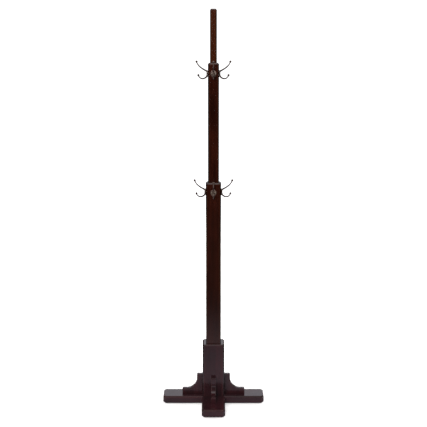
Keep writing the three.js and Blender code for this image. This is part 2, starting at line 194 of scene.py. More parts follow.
def bump(tree, height, strength, distance, **under):
    """A bumped normal. Under may give the normal below it."""
    inputs = {"Height": height, "Strength": strength, "Distance": distance, **under}
    return add_node(tree, "ShaderNodeBump", inputs).outputs[0]


def new_material(name):
    """A material, its node tree and its object coordinates."""
    material = bpy.data.materials.new(name)
    tree = nodes_of(material)
    return material, tree, add_node(tree, "ShaderNodeTexCoord").outputs["Object"]


def principled(tree, inputs):
    shader = add_node(tree, "ShaderNodeBsdfPrincipled", inputs)
    add_node(tree, "ShaderNodeOutputMaterial", {"Surface": shader.outputs[0]})


# ---- camera, floor and light ----
def make_camera():
    camera = bpy.data.objects.new("camera", bpy.data.cameras.new("camera"))
    bpy.context.scene.collection.objects.link(camera)
    camera.data.sensor_width = 36.0
    camera.data.lens = CAMERA_LENS
    camera.location = CAMERA_PLACE
    camera.rotation_euler = (math.radians(90 - CAMERA_DROP), 0, 0)
    bpy.context.scene.camera = camera


def make_world():
    """A white studio. The camera sees white, gloss sees a vault with a cool band above a dark
    horizon and its brightest light overhead, and everything else an even grey."""
    world = bpy.data.worlds.new("studio")
    bpy.context.scene.world = world
    tree = nodes_of(world)
    place = add_node(tree, "ShaderNodeTexCoord").outputs["Generated"]
    split = add_node(tree, "ShaderNodeSeparateXYZ", {0: place})
    cool = (0.97, 0.96, 1.04)
    sky = ramped(tree, ranged(tree, split.outputs["Z"], -1.0, 1.0),
                 [(0.50, grey(0.012)), (0.56, grey(0.10)), (0.60, grey(0.60, cool)),
                  (0.67, grey(0.68, cool)), (0.73, grey(0.16)), (0.945, grey(0.16)),
                  (0.972, grey(0.50)), (0.986, grey(1.05)), (0.998, grey(1.5))])
    seen = add_node(tree, "ShaderNodeBackground", {"Color": grey(1), "Strength": 1.3})
    vault = add_node(tree, "ShaderNodeBackground", {"Color": sky})
    ambient = add_node(tree, "ShaderNodeBackground", {"Color": (0.30, 0.30, 0.31)})
    ray = add_node(tree, "ShaderNodeLightPath")
    unseen = mix_shaders(tree, ray.outputs["Is Glossy Ray"], ambient, vault)
    shown = mix_shaders(tree, ray.outputs["Is Camera Ray"], unseen, seen)
    add_node(tree, "ShaderNodeOutputWorld", {"Surface": shown.outputs[0]})


def area_light(name, location, target, side, power, colour=(1, 1, 1), glossy=False):
    """A soft square light. The large ones show in no reflection, so gloss comes from the world
    and from the small glints."""
    data = bpy.data.lights.new(name, "AREA")
    data.shape = "RECTANGLE"
    data.size, data.size_y = side, side
    data.energy = power
    data.color = colour
    light = bpy.data.objects.new(name, data)
    bpy.context.scene.collection.objects.link(light)
    light.location = location
    light.rotation_euler = (Vector(target) - Vector(location)).to_track_quat("-Z", "Y").to_euler()
    light.visible_glossy = glossy


def make_lights():
    warm = (1.0, 0.95, 0.91)
    area_light("key", (-0.9, -4.6, 2.1), (0, 0, 1.2), 1.8, 190, warm)
    area_light("back", (0.9, 4.6, 2.1), (0, 0, 1.2), 1.8, 130, warm)
    area_light("left", (-4.6, 0.6, 2.1), (0, 0, 1.1), 1.8, 70, warm)
    area_light("right", (4.6, 0.6, 2.1), (0, 0, 1.1), 1.8, 70, warm)
    area_light("top", (0, 0, 4.4), (0, 0, 0), 2.2, 9)
    away, height = 3.2, 3.1
    for number, turn in enumerate((-32, 28, 90, 150, 212, 270)):
        angle = math.radians(turn)
        place = (away * math.sin(angle), -away * math.cos(angle), height)
        area_light(f"glint_{number}", place, (0, 0, 1.3), 0.7, 7, glossy=True)


def make_floor():
    """A white floor that burns out to the camera but for the shadows right under the feet. Gloss
    sees it lit only near the tree."""
    mesh = bpy.data.meshes.new("floor")
    half = 30.0
    corners = [(-half, -half, 0), (half, -half, 0), (half, half, 0), (-half, half, 0)]
    mesh.from_pydata(corners, [], [(0, 1, 2, 3)])
    floor = bpy.data.objects.new("floor", mesh)
    bpy.context.scene.collection.objects.link(floor)
    material, tree, place = new_material("floor")
    distance = add_node(tree, "ShaderNodeVectorMath", {0: place}, operation="LENGTH").outputs["Value"]
    pool = ramped(tree, ranged(tree, distance, 0.0, 2.4),
                  [(0.0, (0.54, 0.51, 0.58)), (0.28, (0.42, 0.40, 0.46)), (0.75, grey(0.04)),
                   (1.0, grey(0.015))])
    glow = add_node(tree, "ShaderNodeBsdfDiffuse", {"Color": pool})
    white = add_node(tree, "ShaderNodeBsdfDiffuse", {"Color": grey(0.9)})
    burnt = add_node(tree, "ShaderNodeEmission",
                     {"Strength": ranged(tree, distance, 0.25, 0.8, 0.50, 1.1)})
    seen = add_node(tree, "ShaderNodeAddShader", {0: white.outputs[0], 1: burnt.outputs[0]})
    bounce = add_node(tree, "ShaderNodeBsdfDiffuse", {"Color": grey(0.35)})
    ray = add_node(tree, "ShaderNodeLightPath")
    plain = mix_shaders(tree, ray.outputs["Is Camera Ray"], bounce, seen)
    shown = mix_shaders(tree, ray.outputs["Is Glossy Ray"], plain, glow)
    add_node(tree, "ShaderNodeOutputMaterial", {"Surface": shown.outputs[0]})
    mesh.materials.append(material)


# ---- materials ----
GRAIN_TURNS = {"z": (0, 0, 0), "x": (0, math.pi / 2, 0), "y": (math.pi / 2, 0, 0)}
RINGS_PER_METRE = 260.0
STAINS = {  # dark, middle and light of the stain, and the colour where it is rubbed thin, also used as a painted highlight along the arrises
    "honey": ((0.020, 0.0046, 0.0016), (0.042, 0.0095, 0.0028), (0.066, 0.0165, 0.0050),
              (0.100, 0.036, 0.016)),
    "walnut": ((0.010, 0.0026, 0.0014), (0.022, 0.0048, 0.0024), (0.040, 0.0084, 0.0040),
               (0.075, 0.028, 0.014)),
    "red": ((0.010, 0.0028, 0.0018), (0.022, 0.0050, 0.0028), (0.038, 0.0082, 0.0042),
            (0.080, 0.026, 0.012)),
    "plum": ((0.009, 0.0018, 0.0026), (0.022, 0.0038, 0.0060), (0.037, 0.0066, 0.0094),
             (0.048, 0.019, 0.015)),
}


def scattered(draw):
    """A random shift, so that no two pieces show the same part of a pattern."""
    return [draw.uniform(-3, 3) for _ in range(3)]


def lacquered_wood(name, along, draw, stain):
    """Mahogany-stained timber under a rubbed lacquer. Growth rings run round a pith line outside
    the piece, so faces cut across them show long flames and the ends show arcs."""
    material, tree, place = new_material(name)
    straight = mapped(tree, place, rotation=GRAIN_TURNS[along])
    shifted = mapped(tree, straight, location=scattered(draw))
    long = mapped(tree, shifted, scale=(1, 1, 0.035))  # squeezed along the grain
    longer = mapped(tree, shifted, scale=(1, 1, 0.08))

    # Growth rings about a pith line that leans a little to the grain.
    pith = mapped(tree, straight, location=(draw.uniform(0.06, 0.1), draw.uniform(0.04, 0.08), 0),
                  rotation=(draw.uniform(-0.02, 0.02), draw.uniform(-0.02, 0.02), 0))
    flat = add_node(tree, "ShaderNodeVectorMath", {0: pith, 1: (1, 1, 0)}, operation="MULTIPLY")
    radius = add_node(tree, "ShaderNodeVectorMath", {0: flat.outputs[0]}, operation="LENGTH")
    wander = noise(tree, long, 22, 3, 0.5)
    ring = maths(tree, "FRACT", weighed(tree, radius.outputs["Value"], RINGS_PER_METRE, wander, 3.5))

    # The stain in streaks, darkened by the late wood of each ring, the fibres and the pores.
    streak = noise(tree, longer, 55, 5, 0.62, 0.3)
    broad = noise(tree, shifted, 5.5, 2, 0.5)
    fibre = noise(tree, long, 900, 6, 0.7)
    pores = add_node(tree, "ShaderNodeTexVoronoi", {"Vector": long, "Scale": 650.0})
    dark, middle, light, rub_and_highlight_colour = STAINS[stain]
    ground = ramped(tree, weighed(tree, streak, 0.62, broad, 0.38),
                    [(0.34, dark), (0.50, middle), (0.68, light)])
    late = ramped(tree, ring, [(0.0, (1, 1, 1)), (0.55, (0.93, 0.9, 0.9)), (0.92, (0.62, 0.56, 0.55)),
                               (1.0, (1, 1, 1))])
    ringed = mix_colours(tree, 0.75, ground, late, "MULTIPLY")
    fine = ramped(tree, fibre, [(0.35, (0.72, 0.7, 0.7)), (0.62, (1.12, 1.08, 1.05))])
    grained = mix_colours(tree, 0.8, ringed, fine, "MULTIPLY")
    pit = ramped(tree, pores.outputs["Distance"], [(0.06, (0.35, 0.33, 0.33)), (0.16, (1, 1, 1))])
    pored = mix_colours(tree, 0.7, grained, pit, "MULTIPLY")

    # Painted shade: the clipped edges get a darker colour, standing in for the shade on faces
    # turned from the front light. Elsewhere the arrises are rubbed in patches, and there the stain is
    # thinner and the wood shows warmer; this lighter colour, turned up, also paints a highlight line
    # along the arrises.
    patch = ramped(tree, noise(tree, shifted, 38, 4, 0.6), [(0.40, (0, 0, 0)), (0.66, (1, 1, 1))])
    # Rubbed wear on the arrises, partly real wear and partly a painted highlight line along them.
    rub_and_highlight = maths(tree, "MULTIPLY", attribute(tree, "edge_wear"),
                maths(tree, "MULTIPLY_ADD", patch, 0.60, 0.20))
    # Painted shade on the clipped edges: a much darker copy of the stain, read from the mesh.
    painted_clip_shade = maths(tree, "POWER", attribute(tree, "painted_clip_shade"), 2.0)
    shade = maths(tree, "MULTIPLY", painted_clip_shade, 0.82)
    shade_painted_colour = mix_colours(tree, shade, pored, tuple(0.35 * part for part in dark))
    rub_and_highlight_share = maths(tree, "MULTIPLY", rub_and_highlight, maths(tree, "SUBTRACT", 1.0, shade))
    colour = mix_colours(tree, rub_and_highlight_share, shade_painted_colour, rub_and_highlight_colour)

    gloss = ranged(tree, noise(tree, shifted, 14, 3, 0.6), 0.3, 0.7, 0.09, 0.17)
    rough = maths(tree, "MULTIPLY_ADD", fibre, 0.04, gloss)
    grain = bump(tree, weighed(tree, fibre, 0.5, pit, 0.5), 0.06, 0.0004)
    film = bump(tree, noise(tree, shifted, 130, 2, 0.5), 0.05, 0.0006, Normal=grain)
    principled(tree, {"Base Color": colour, "Roughness": rough, "Normal": film, "IOR": 1.5,
                      "Specular IOR Level": 0.42, "Coat Weight": 0.35, "Coat Roughness": 0.09,
                      "Coat IOR": 1.5})
    return material


def aged_metal(name, draw, dark, worn, rough, wear_at=(0.50, 0.72), metallic=1.0):
    """Plated metal: a dark patina, mottled, rubbed brighter in places and on raised parts."""
    material, tree, place = new_material(name)
    shifted = mapped(tree, place, location=scattered(draw))
    mottle = noise(tree, shifted, 260, 5, 0.6)
    cloud = noise(tree, shifted, 60, 3, 0.55)
    speck = noise(tree, shifted, 2200, 3, 0.6)
    amount = maths(tree, "MULTIPLY_ADD", attribute(tree, "edge_wear"), 0.22,
                   weighed(tree, mottle, 0.55, cloud, 0.45))
    mask = ramped(tree, amount, [(wear_at[0], (0, 0, 0)), (wear_at[1], (1, 1, 1))])
    patina = mix_colours(tree, speck, tuple(0.72 * c for c in dark), tuple(1.25 * c for c in dark))
    principled(tree, {"Base Color": mix_colours(tree, mask, patina, worn), "Metallic": metallic,
                      "Roughness": ranged(tree, amount, 0.3, 0.7, rough[1], rough[0]),
                      "Normal": bump(tree, mottle, 0.18, 0.0002)})
    return material


def plain_wood(name, along, draw):
    """Bare hardwood, for the dowels."""
    material, tree, place = new_material(name)
    shifted = mapped(tree, place, rotation=GRAIN_TURNS[along], location=scattered(draw))
    fibre = noise(tree, mapped(tree, shifted, scale=(1, 1, 0.06)), 900, 6, 0.65)
    colour = ramped(tree, fibre, [(0.3, (0.36, 0.21, 0.10)), (0.7, (0.58, 0.40, 0.22))])
    principled(tree, {"Base Color": colour, "Roughness": 0.62,
                      "Normal": bump(tree, fibre, 0.25, 0.0002)})
    return material


def moulded_plastic(name):
    """Dark textured plastic, for the glides."""
    material, tree, place = new_material(name)
    scuff = noise(tree, place, 120, 4, 0.6)
    colour = ramped(tree, scuff, [(0.4, (0.010, 0.008, 0.008)), (0.75, (0.030, 0.026, 0.025))])
    principled(tree, {"Base Color": colour, "Roughness": ranged(tree, scuff, 0.0, 1.0, 0.45, 0.65),
                      "Normal": bump(tree, noise(tree, place, 1500, 3, 0.5), 0.3, 0.0001)})
    return material


# ---- mesh helpers ----
def new_object(name, mesh, place=None):
    thing = bpy.data.objects.new(name, mesh)
    bpy.context.scene.collection.objects.link(thing)
    thing.matrix_world = place or Matrix.Identity(4)
    return thing


def mesh_from(bm, name):
    bmesh.ops.recalc_face_normals(bm, faces=bm.faces)
    mesh = bpy.data.meshes.new(name)
    bm.to_mesh(mesh)
    bm.free()
    return mesh


def settle(thing):
    """Applies an object's modifiers to its mesh."""
    bpy.context.view_layer.update()
    shown = thing.evaluated_get(bpy.context.evaluated_depsgraph_get())
    mesh = bpy.data.meshes.new_from_object(shown)
    mesh.name = thing.name
    thing.modifiers.clear()
    thing.data = mesh


def combine(thing, others, operation="DIFFERENCE"):
    """Cuts or joins other objects into one, and removes them."""
    for other in others:
        step = thing.modifiers.new(operation.lower(), "BOOLEAN")
        step.operation = operation
        step.solver = "EXACT"
        step.object = other
        settle(thing)
        bpy.data.objects.remove(other)


def arris_wear(share):
    """The rubbing along a rounded edge, where share goes from 0 to 1 across it."""
    return 0.45 + 0.55 * math.sin(math.pi * share)


def fillet(points, radius, closed):
    """Rounds a flat line's corners. Gives (point, wear) pairs: wear is 1 in the middle of a rounded
    corner, and fades over a short apron on both sides of it."""
    made = []
    count = len(points)
    for i, corner in enumerate(points):
        if not closed and i in (0, count - 1):
            continue
        last, after = points[i - 1] - corner, points[(i + 1) % count] - corner
        to_last, to_next = last.normalized(), after.normalized()
        half = to_last.angle(to_next) / 2
        tangent = radius / math.tan(half)
        apron = min(WEAR_APRON, 0.45 * min(last.length, after.length) - tangent)
        centre = corner + (to_last + to_next).normalized() * (radius / math.sin(half))
        start = corner + to_last * tangent - centre
        end = corner + to_next * tangent - centre
        sweep = math.atan2(start.x * end.y - start.y * end.x, start.dot(end))
        made.append((corner + to_last * (tangent + apron), 0.0))
        for k in range(ARRIS_STEPS + 1):
            share = k / ARRIS_STEPS
            cosine, sine = math.cos(sweep * share), math.sin(sweep * share)
            spoke = Vector((start.x * cosine - start.y * sine, start.x * sine + start.y * cosine))
            made.append((centre + spoke, arris_wear(share)))
        made.append((corner + to_next * (tangent + apron), 0.0))
    return made


def bridge(bm, loops):
    """Joins each ring of vertices to the next."""
    count = len(loops[0])
    for lower, upper in zip(loops, loops[1:]):
        for i in range(count):
            j = (i + 1) % count
            bm.faces.new((lower[i], lower[j], upper[j], upper[i]))


def closed_tube(bm, loops):
    """Joins rings of vertices into a closed skin with flat ends."""
    bridge(bm, loops)
    bm.faces.new(list(reversed(loops[0])))
    bm.faces.new(loops[-1])


def skin(bm, rings, wears, painted_clip_shade=None):
    """Makes a closed skin through rings of points, each with as many points. The last argument says,
    along a ring, where shade is painted darker into the colour."""
    wear_layer = bm.verts.layers.float.new("edge_wear")
    # Marks where shade is painted into the colour.
    clip_shade_layer = bm.verts.layers.float.new("painted_clip_shade")
    loops = []
    for ring, wear in zip(rings, wears):
        loop = [bm.verts.new(point) for point in ring]
        for i, vertex in enumerate(loop):
            vertex[wear_layer] = wear[i]
            vertex[clip_shade_layer] = painted_clip_shade[i] if painted_clip_shade else 0.0
        loops.append(loop)
    closed_tube(bm, loops)


def clipped_plan(half_x, half_y, clip):
    """The corners of a rectangle with clipped corners, anticlockwise."""
    plan = []
    for sign_x, sign_y in ((1, 1), (-1, 1), (-1, -1), (1, -1)):
        side = Vector((sign_x * half_x, sign_y * (half_y - clip)))
        end = Vector((sign_x * (half_x - clip), sign_y * half_y))
        plan += [side, end] if sign_x == sign_y else [end, side]
    return plan


def timber(name, low, high, clip, bottom_ease, top_ease, paints_clip_shade=False):
    """A squared timber between two corners: clipped upright edges, chamfered ends, and every
    arris rounded. An ease of 0 leaves a crisp end, for a joint. When asked, shade is painted as a
    darker colour on the clipped upright edges."""
    centre = (low + high) / 2
    half_x, half_y = (high.x - low.x) / 2, (high.y - low.y) / 2
    beyond = 20 * MM  # the profile's straight parts need only be longer than the aprons

    def end_profile(ease, height, inward):
        line = [Vector((ease + beyond, height)), Vector((ease, height)),
                Vector((0, height + inward * ease)), Vector((0, height + inward * (ease + beyond)))]
        if not ease:
            line.pop(1)
        return fillet(line, ARRIS if ease else JOINT_ARRIS, closed=False)

    profile = end_profile(bottom_ease, low.z, 1) + list(reversed(end_profile(top_ease, high.z, -1)))
    rings, wears = [], []
    for (inset, height), end_wear in profile:
        shorter = clip - inset * (2 - math.sqrt(2))
        outline = clipped_plan(half_x - inset, half_y - inset, max(shorter, 2 * ARRIS))
        plan = fillet(outline, ARRIS, closed=True)
        rings.append([(centre.x + p.x, centre.y + p.y, height) for p, _ in plan])
        wears.append([max(end_wear, plan_wear) for _, plan_wear in plan])
    wears[0] = wears[-1] = [0.0] * len(wears[0])  # the end faces aren't rubbed
    # Each clip lies between an even corner of the plan and the odd one after it. A corner gives
    # an apron point, the points of its arc and another apron point.
    on_clip = [0.0, 0.0] + [k / ARRIS_STEPS for k in range(1, ARRIS_STEPS + 1)] + [1.0]
    # Painted shade: the clipped faces are marked for a darker colour, fading in across each arris.
    painted_clip_shade = (on_clip + on_clip[::-1]) * 4 if paints_clip_shade else None
    bm = bmesh.new()
    skin(bm, rings, wears, painted_clip_shade)
    return new_object(name, mesh_from(bm, name))


def box_object(low, high):
    bm = bmesh.new()
    bmesh.ops.create_cube(bm, size=1)
    size = Vector(high) - Vector(low)
    middle = (Vector(high) + Vector(low)) / 2
    bmesh.ops.scale(bm, vec=size, verts=bm.verts)
    bmesh.ops.translate(bm, vec=middle, verts=bm.verts)
    return new_object("tool", mesh_from(bm, "tool"))


def turned(bm, profile, sides, place=None, shape=None, wear=None, hollow=False):
    """Adds a solid of revolution about +Z to bm. The profile is (radius, height) pairs upward. It
    starts and ends on the axis, or closes on itself when hollow. Shape gives the true radius for
    a radius, angle and height, as for threads and flutes."""
    place = place or Matrix.Identity(4)
    layer = bm.verts.layers.float.new("edge_wear")

    def vertex(x, y, z, amount):
        made = bm.verts.new(place @ Vector((x, y, z)))
        made[layer] = amount
        return made

    loops = []
    for radius, height in (profile if hollow else profile[1:-1]):
        loop = []
        for i in range(sides):
            angle = 2 * math.pi * i / sides
            true = shape(radius, angle, height) if shape else radius
            amount = wear(radius, height) if wear else 0.0
            loop.append(vertex(true * math.cos(angle), true * math.sin(angle), height, amount))
        loops.append(loop)
    bridge(bm, loops + loops[:1] if hollow else loops)
    if hollow:
        return
    bottom = vertex(0, 0, profile[0][1], 0.0)
    top = vertex(0, 0, profile[-1][1], 0.0)
    for i in range(sides):
        j = (i + 1) % sides
        bm.faces.new((bottom, loops[0][j], loops[0][i]))
        bm.faces.new((loops[-1][i], loops[-1][j], top))


def turned_object(name, profile, sides, place=None, **how):
    bm = bmesh.new()
    turned(bm, profile, sides, place, **how)
    return new_object(name, mesh_from(bm, name))


def finish_piece(thing, name, material, node, limit=32.0):
    """Gives a made piece its shading, name and looks, and puts it in its CAD node's place. A
    limit of 0 leaves the shading as it is."""
    if limit:
        crisp_edges(thing, limit)
    thing.name = name
    thing.data.materials.clear()
    thing.data.materials.append(material)
    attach(thing, "root")
    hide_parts(node)


def rod_object(radius, start, end, sides=32):
    """A plain round cutter between two points."""
    along = Vector(end) - Vector(start)
    place = Matrix.Translation(start) @ along.to_track_quat("Z", "Y").to_matrix().to_4x4()
    profile = [(0, 0), (radius, 0), (radius, along.length), (0, along.length)]
    return turned_object("tool", profile, sides, place)


def side_turn(side):
    return Matrix.Rotation(math.radians(SIDES[side]), 4, "Z")


def crisp_edges(thing, limit):
    """Smooth shading, with edges sharper than the limit kept as edges, and with flat faces kept
    flat between their rounded edges."""
    bm = bmesh.new()
    bm.from_mesh(thing.data)
    for edge in bm.edges:
        edge.smooth = not edge.link_faces or edge.calc_face_angle(0.0) < math.radians(limit)
    for face in bm.faces:
        face.smooth = True
    bm.to_mesh(thing.data)
    bm.free()
    step = thing.modifiers.new("weighted", "WEIGHTED_NORMAL")
    step.mode = "FACE_AREA"
    step.weight = 50
    step.keep_sharp = True


def centre_of(node):
    """An upright CAD node's centre line in plan, with its box."""
    low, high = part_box(node)
    return (low.x + high.x) / 2, (low.y + high.y) / 2, low, high


def rod_of(node):
    """The middle, direction, half length and radius of a CAD node that is a straight rod."""
    low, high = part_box(node)
    size = high - low
    along = max(range(3), key=lambda axis: size[axis])
    direction = Vector([1.0 if axis == along else 0.0 for axis in range(3)])
    return (low + high) / 2, direction, size[along] / 2, min(size) / 2


# ---- timber ----
def screw_holes(post_half, height):
    """Cutters for one post's hook screws, at the places of the CAD screws."""
    tools = []
    for side in SIDES:
        turn = side_turn(side)
        for sign in (-1, 1):
            x = sign * HOOK_SCREW_OFFSET
            start = turn @ Vector((x, -post_half - PAST, height))
            end = turn @ Vector((x, -post_half + HOOK_SCREW_DEPTH + FIT_GAP, height))
            tools.append(rod_object(SCREW_SHANK + FIT_GAP, start, end, 16))
    return tools


def bore(node, extra=FIT_GAP):
    """A cutter for the hole that holds an upright round CAD node."""
    x, y, low, high = centre_of(node)
    return rod_object((high.x - low.x) / 2 + extra, (x, y, low.z - extra), (x, y, high.z + extra), 24)


def bolt_hole():
    """A cutter for the base bolt's shank. The bolt's box is as wide as its head."""
    return bore("base_bolt", extra=-BOLT_HOLE_INSET)


def make_posts(draw):
    """The three posts and the base block, each from its CAD node's box."""
    made = {}
    stains = {"top_pole": "honey", "middle_post": "walnut", "lower_post": "red", "base_block": "plum"}
    for name in stains:
        low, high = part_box(name)
        # The last argument paints shade on the clipped edges.
        made[name] = timber(name, low, high, POST_CLIP, 0, POST_EASE, True)
    hooks = {"middle_post": "upper_hook_front", "lower_post": "lower_hook_front"}
    for name, hook in hooks.items():
        screw_low, screw_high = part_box(hook + "_screw_left")
        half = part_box(name)[1].x
        combine(made[name], screw_holes(half, (screw_low.z + screw_high.z) / 2))
    combine(made["top_pole"], [bore("pole_stud")])
    combine(made["middle_post"], [bore("pole_stud"), bore("pole_insert"), bore("post_stud")])
    combine(made["lower_post"],
            [bore("post_stud"), bore("post_insert"), bore("base_insert"), bolt_hole()])
    low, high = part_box("lower_post")
    gap = Vector((FIT_GAP, FIT_GAP, 0))
    above = Vector((high.x, high.y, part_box("base_block")[1].z + PAST))
    socket = timber("tool", low - gap, above + gap, POST_CLIP, 0, 0)
    tools = [socket, bolt_hole(), bore("block_dowel_1"), bore("block_dowel_2")]
    combine(made["base_block"], tools + dowel_bores())
    for name, thing in made.items():
        finish_piece(thing, name + "_timber", lacquered_wood(name, "z", draw, stains[name]),
                     name)


def dowel_bores():
    tools = []
    for side in SIDES:
        middle, direction, half, radius = rod_of("bracket_dowel_" + side)
        reach = direction * (half + FIT_GAP)
        tools.append(rod_object(radius + FIT_GAP, middle - reach, middle + reach, 24))
    return tools


def foot_bar(along_x, bottom, top):
    """One bar of the cross, as long as the whole foot."""
    low_x, high_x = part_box("foot_rail_left_right")
    low_y, high_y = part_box("foot_rail_front_back")
    half = FOOT_WIDTH / 2
    if along_x:
        low, high = Vector((low_x.x, -half, bottom)), Vector((high_x.x, half, top))
    else:
        low, high = Vector((-half, low_y.y, bottom)), Vector((half, high_y.y, top))
    return timber("bar", low, high, FOOT_CLIP, FOOT_BOTTOM_EASE, FOOT_TOP_EASE)


def make_rails(draw):
    """Two half-lapped rails. Each takes in the other's edges at the crossing, so the chamfers run
    round the cross's inner corners."""
    low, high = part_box("foot_rail_left_right")
    bottom, top = low.z, high.z
    lap = (bottom + top) / 2
    half = FOOT_WIDTH / 2
    notch, past_ends = half + FIT_GAP, 2 * FOOT_WIDTH
    upper, lower = (lap, top + PAST), (bottom - PAST, lap)
    for name, along_x in (("foot_rail_left_right", True), ("foot_rail_front_back", False)):
        keep, cut = (upper, lower) if along_x else (lower, upper)
        other = foot_bar(not along_x, bottom, top)
        combine(other, [box_object((-half, -half, keep[0]), (half, half, keep[1]))], "INTERSECT")
        rail = foot_bar(along_x, bottom, top)
        combine(rail, [other], "UNION")
        across = (notch, past_ends) if along_x else (past_ends, notch)
        cutter = box_object((-across[0], -across[1], cut[0]), (across[0], across[1], cut[1]))
        tools = [cutter, bolt_hole()]
        if along_x:
            tools += [bore("block_dowel_1"), bore("block_dowel_2")]
        else:
            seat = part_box("base_washer")[1].z
            tools.append(rod_object(BOLT_POCKET, (0, 0, bottom - PAST), (0, 0, seat), 48))
        for side in (("left", "right") if along_x else ("front", "back")):
            x, y, _, high = centre_of("glide_" + side)
            tools.append(rod_object(GLIDE_PIN + FIT_GAP, (x, y, 0), (x, y, high.z + FIT_GAP), 16))
            x, y, low, _ = centre_of("bracket_screw_" + side)
            tools.append(rod_object(BRACKET_SCREW_HOLE, (x, y, 0), (x, y, top + PAST), 16))
            tools.append(rod_object(BRACKET_SCREW_POCKET, (x, y, 0), (x, y, low.z + MM), 24))
        combine(rail, tools)
        grain = "x" if along_x else "y"
        finish_piece(rail, name + "_timber", lacquered_wood(name, grain, draw, "plum"),
                     name)


def arc(centre, radius, start, end, steps):
    """Points on a flat arc, with angles in degrees."""
    angles = [math.radians(start + (end - start) * k / steps) for k in range(steps + 1)]
    return [centre + radius * Vector((math.cos(a), math.sin(a))) for a in angles]


def bracket_outline():
    """The bracket's side: x outward from the block, y up from the foot, anticlockwise."""
    toe_centre = Vector((BRACKET_REACH - BRACKET_TOE_ROUND, BRACKET_TOE - BRACKET_TOE_ROUND))
    cove_centre = Vector((BRACKET_TOP_REACH + BRACKET_COVE, BRACKET_TOE + BRACKET_COVE))
    brow_centre = Vector((BRACKET_TOP_REACH - BRACKET_ROUND, BRACKET_HEIGHT - BRACKET_ROUND))
    line = [Vector((0, 0)), Vector((BRACKET_REACH, 0))]
    line += arc(toe_centre, BRACKET_TOE_ROUND, 0, 90, 6)
    line += arc(cove_centre, BRACKET_COVE, 270, 180, 24)
    line += arc(brow_centre, BRACKET_ROUND, 0, 90, 8)
    line.append(Vector((0, BRACKET_HEIGHT)))
    return line


def moved_in(line, distance):
    """A closed line with every side moved inward, its corners mitred."""
    made = []
    for i, point in enumerate(line):
        before = (point - line[i - 1]).normalized()
        after = (line[(i + 1) % len(line)] - point).normalized()
        normal = Vector((-before.y, before.x)) + Vector((-after.y, after.x))
        made.append(point + normal * (2 * distance / normal.length_squared))
    return made


def front_bracket():
    """A sawn board with a hollow curve, its arrises rounded, lying against the front face."""
    line = bracket_outline()
    half = BRACKET_THICKNESS / 2
    low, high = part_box("bracket_front")
    section = [(ARRIS + WEAR_APRON, 0, 0.0)]
    for k in range(ARRIS_STEPS + 1):
        share = k / ARRIS_STEPS
        angle = math.pi / 2 * share
        section.append((ARRIS * (1 - math.sin(angle)), ARRIS * (1 - math.cos(angle)),
                        arris_wear(share)))
    section.append((0, ARRIS + WEAR_APRON, 0.0))
    both = [(inset, half - back, wear) for inset, back, wear in section]
    both += [(inset, back - half, wear) for inset, back, wear in reversed(section)]
    rings, wears = [], []
    for inset, across, wear in both:
        rings.append([(across, high.y - p.x, low.z + p.y) for p in moved_in(line, inset)])
        wears.append([wear] * len(line))
    bm = bmesh.new()
    skin(bm, rings, wears)
    return new_object("bracket", mesh_from(bm, "bracket"))


def make_brackets(draw):
    for side in SIDES:
        name = "bracket_" + side
        board = front_bracket()
        board.data.transform(side_turn(side))
        x, y, _, high = centre_of("bracket_screw_" + side)
        screw_hole = rod_object(BRACKET_SCREW_HOLE, (x, y, 0), (x, y, high.z + FIT_GAP), 16)
        combine(board, [screw_hole] + dowel_bores())
        finish_piece(board, name + "_board", lacquered_wood(name, "z", draw, "plum"),
                     name)


# ---- hooks and their screws ----
def bezier(points, share):
    a, b, c, d = points
    rest = 1 - share
    return rest**3 * a + 3 * rest**2 * share * b + 3 * rest * share**2 * c + share**3 * d


def round_rod(bm, points, radii, sides=20):
    """A round rod through points on a curve that lies in an upright plane."""
    across = Vector((1, 0, 0))
    loops = []
    for i, (point, radius) in enumerate(zip(points, radii)):
        ahead = points[min(i + 1, len(points) - 1)] - points[max(i - 1, 0)]
        up = ahead.normalized().cross(across)
        angles = [2 * math.pi * k / sides for k in range(sides)]
        loops.append([bm.verts.new(point + radius * (math.cos(a) * across + math.sin(a) * up))
                      for a in angles])
    closed_tube(bm, loops)


def prong(bm, points):
    """A prong that flares where it leaves the plate, thins towards a collar and ends in a ball."""
    points = [Vector((0, -out * MM, up * MM)) for out, up in points]
    path = [bezier(points, k / PRONG_STEPS) for k in range(PRONG_STEPS + 1)]
    radii = [PRONG_RADIUS * (PRONG_ROOT - PRONG_TAPER * k / PRONG_STEPS
                             + FLARE * math.exp(-(k / FLARE_STEPS) ** 2))
             for k in range(PRONG_STEPS + 1)]
    round_rod(bm, path, radii)
    tip = path[-1]
    heading = (path[-1] - path[-3]).normalized()
    turn = heading.to_track_quat("Z", "Y").to_matrix().to_4x4()
    collar = [(r * MM, h * MM - BALL_RADIUS) for r, h in COLLAR_STEPS]
    turned(bm, collar, 20, Matrix.Translation(tip) @ turn)
    bmesh.ops.create_uvsphere(bm, u_segments=28, v_segments=18, radius=BALL_RADIUS,
                              matrix=Matrix.Translation(tip))


